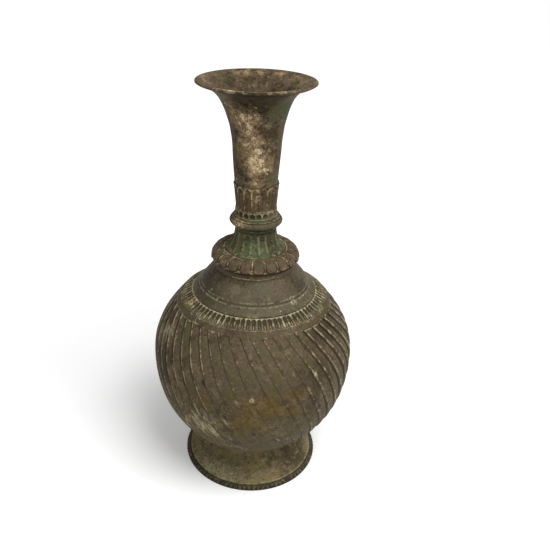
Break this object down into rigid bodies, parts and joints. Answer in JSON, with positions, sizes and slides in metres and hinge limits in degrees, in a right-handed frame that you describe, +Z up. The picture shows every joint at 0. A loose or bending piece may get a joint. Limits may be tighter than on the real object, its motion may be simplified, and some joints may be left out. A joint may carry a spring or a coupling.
{
  "type": "vase",
  "caption": "Long-necked metal bottle vase with a spirally fluted round body, petal collar, petal sleeve, trumpet mouth and spreading notched foot.",
  "frame": {"origin": "centre of the foot's resting face, on the axis of the vase", "axes": "+Z up along the axis from foot to mouth; -Y is the side that faces the viewer in the picture; +X to the viewer's right"},
  "size_m": [0.1448, 0.1444, 0.291],
  "materials": {
    "foot_rim_bronze": "aged bronze, dark brown with pale dirt in the notches, semi-matt",
    "foot_bronze": "worn olive-yellow bronze, semi-matt",
    "body_bronze": "dark olive-brown bronze patina, worn yellower low on the front, semi-matt",
    "band_bronze": "aged bronze with pale ridges and dark recesses",
    "shoulder_bronze": "smooth brown bronze patina with fine engraved lines",
    "ring_bronze": "aged bronze, semi-matt",
    "cushion_bronze": "brown bronze with pale mineral crust between the petals",
    "verdigris_bronze": "green verdigris over bronze, matt, with paler ridges",
    "knop_bronze": "olive bronze, semi-matt",
    "lobe_bronze": "dark green recesses between paler lobes",
    "sleeve_bronze": "warm brown bronze with pale crust on the petal edges",
    "neck_bronze": "buff-brown bronze with cream crust and green patches"
  },
  "bodies": {
    "root": {"foot_rim": "foot_rim_bronze", "foot_skirt": "foot_bronze", "fluted_body": "body_bronze", "tongue_band": "band_bronze", "shoulder": "shoulder_bronze", "collar_ring": "ring_bronze", "petal_cushion": "cushion_bronze", "fluted_cone": "verdigris_bronze", "neck_knop": "knop_bronze", "lobed_band": "lobe_bronze", "petal_sleeve": "sleeve_bronze", "neck_and_mouth": "neck_bronze"}
  },
  "joints": []
}
